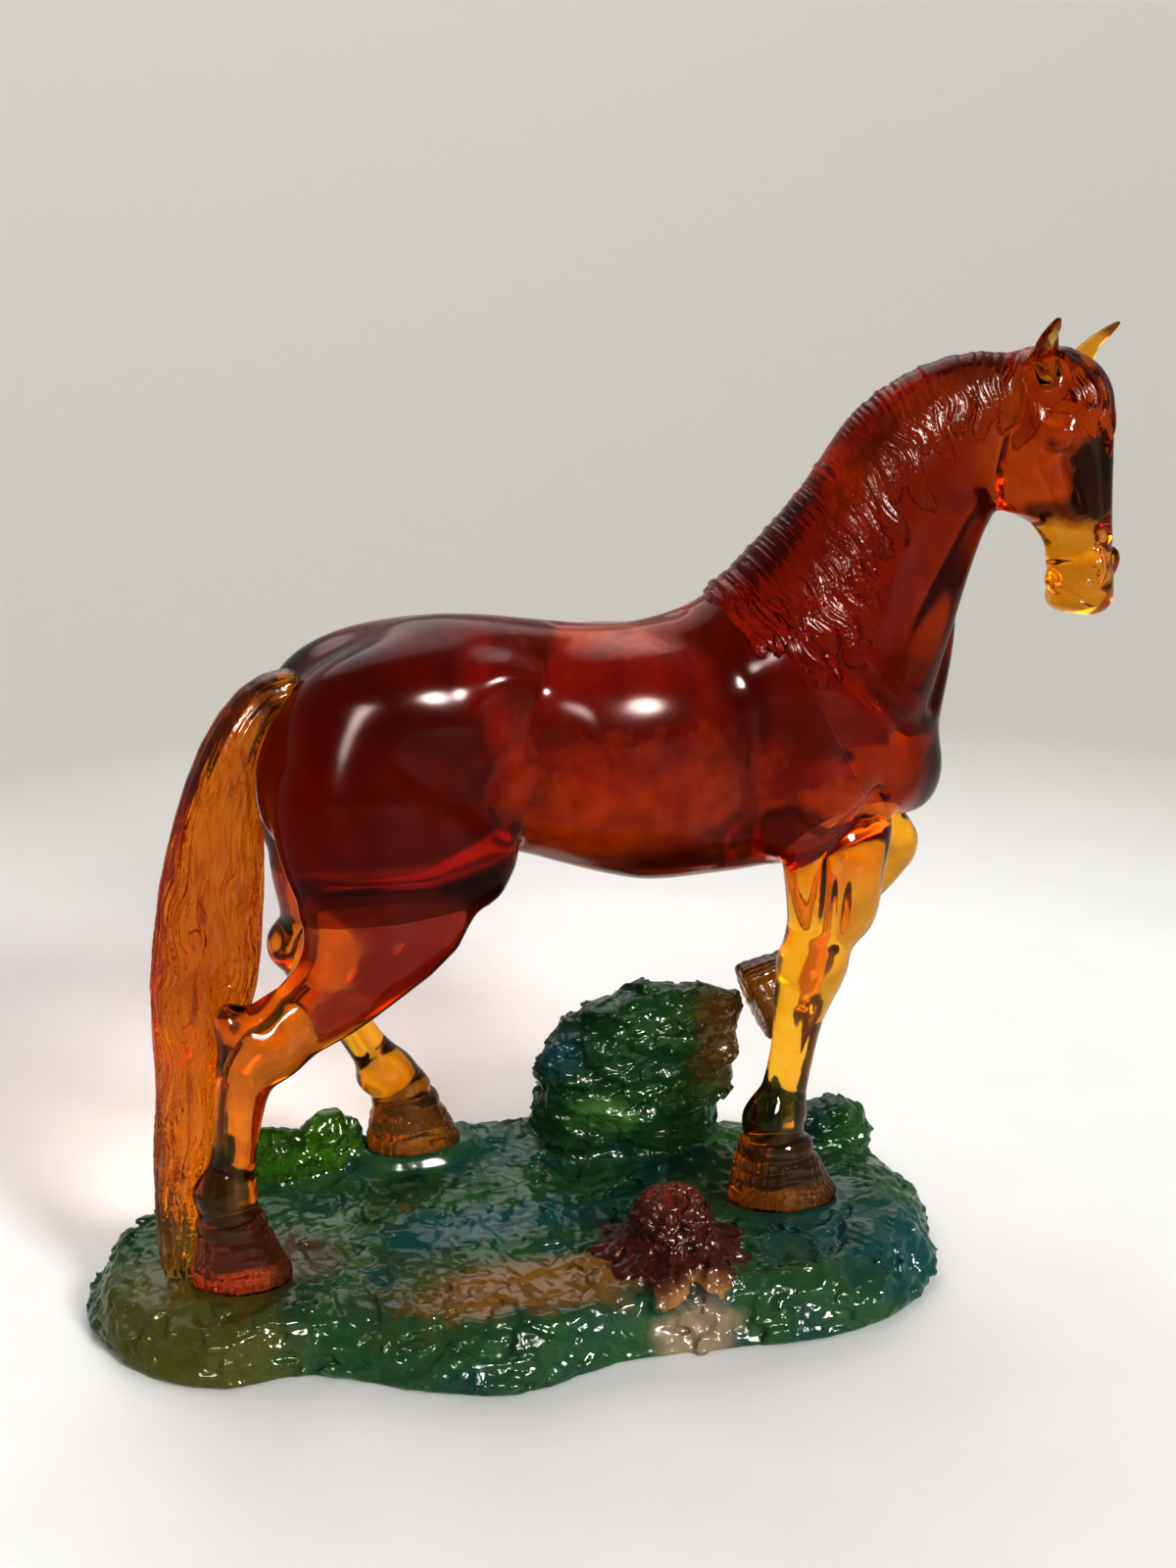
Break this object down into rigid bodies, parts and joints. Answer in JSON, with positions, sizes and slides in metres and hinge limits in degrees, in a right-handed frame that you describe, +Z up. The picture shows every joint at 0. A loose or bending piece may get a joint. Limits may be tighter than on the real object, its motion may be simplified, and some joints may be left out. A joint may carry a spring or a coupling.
{
  "type": "cast crystal horse figurine",
  "caption": "Standing crystal glass horse with one foreleg raised, head turned aside and long tail, on a rocky glass base with a boulder, leaves and a round burr.",
  "frame": {"origin": "on the ground under the middle of the base", "axes": "+X along the base's length towards the horse's head, +Y from the near side to the far side, +Z up"},
  "size_m": [0.3715, 0.1582, 0.3312],
  "materials": {
    "base_glass": "craggy cast crystal, green, teal and amber",
    "rock_glass": "craggy cast crystal, dark green",
    "leaf_glass": "cast crystal, bright green",
    "burr_glass": "rough cast crystal, red brown",
    "ruby_glass": "polished satin crystal, dark ruby with amber depths",
    "amber_glass": "polished satin crystal, amber",
    "gold_glass": "polished crystal, golden amber",
    "mane_glass": "carved crystal hair, smoky ruby",
    "hoof_glass": "polished crystal, olive brown"
  },
  "bodies": {
    "root": {"base_ground": "base_glass", "boulder": "rock_glass", "back_rock": "rock_glass", "leaf_tuft": "leaf_glass", "burr_ball": "burr_glass", "burr_roots": "burr_glass", "torso": "ruby_glass", "neck": "ruby_glass", "head": "amber_glass", "muzzle": "gold_glass", "ear_right": "gold_glass", "ear_left": "gold_glass", "mane": "mane_glass", "forelock": "mane_glass", "tail": "amber_glass", "foreleg_right": "gold_glass", "foreleg_left": "gold_glass", "hindleg_right": "amber_glass", "hindleg_left": "amber_glass", "hoof_front_right": "hoof_glass", "hoof_front_left": "hoof_glass", "hoof_hind_right": "hoof_glass", "hoof_hind_left": "hoof_glass"}
  },
  "joints": []
}
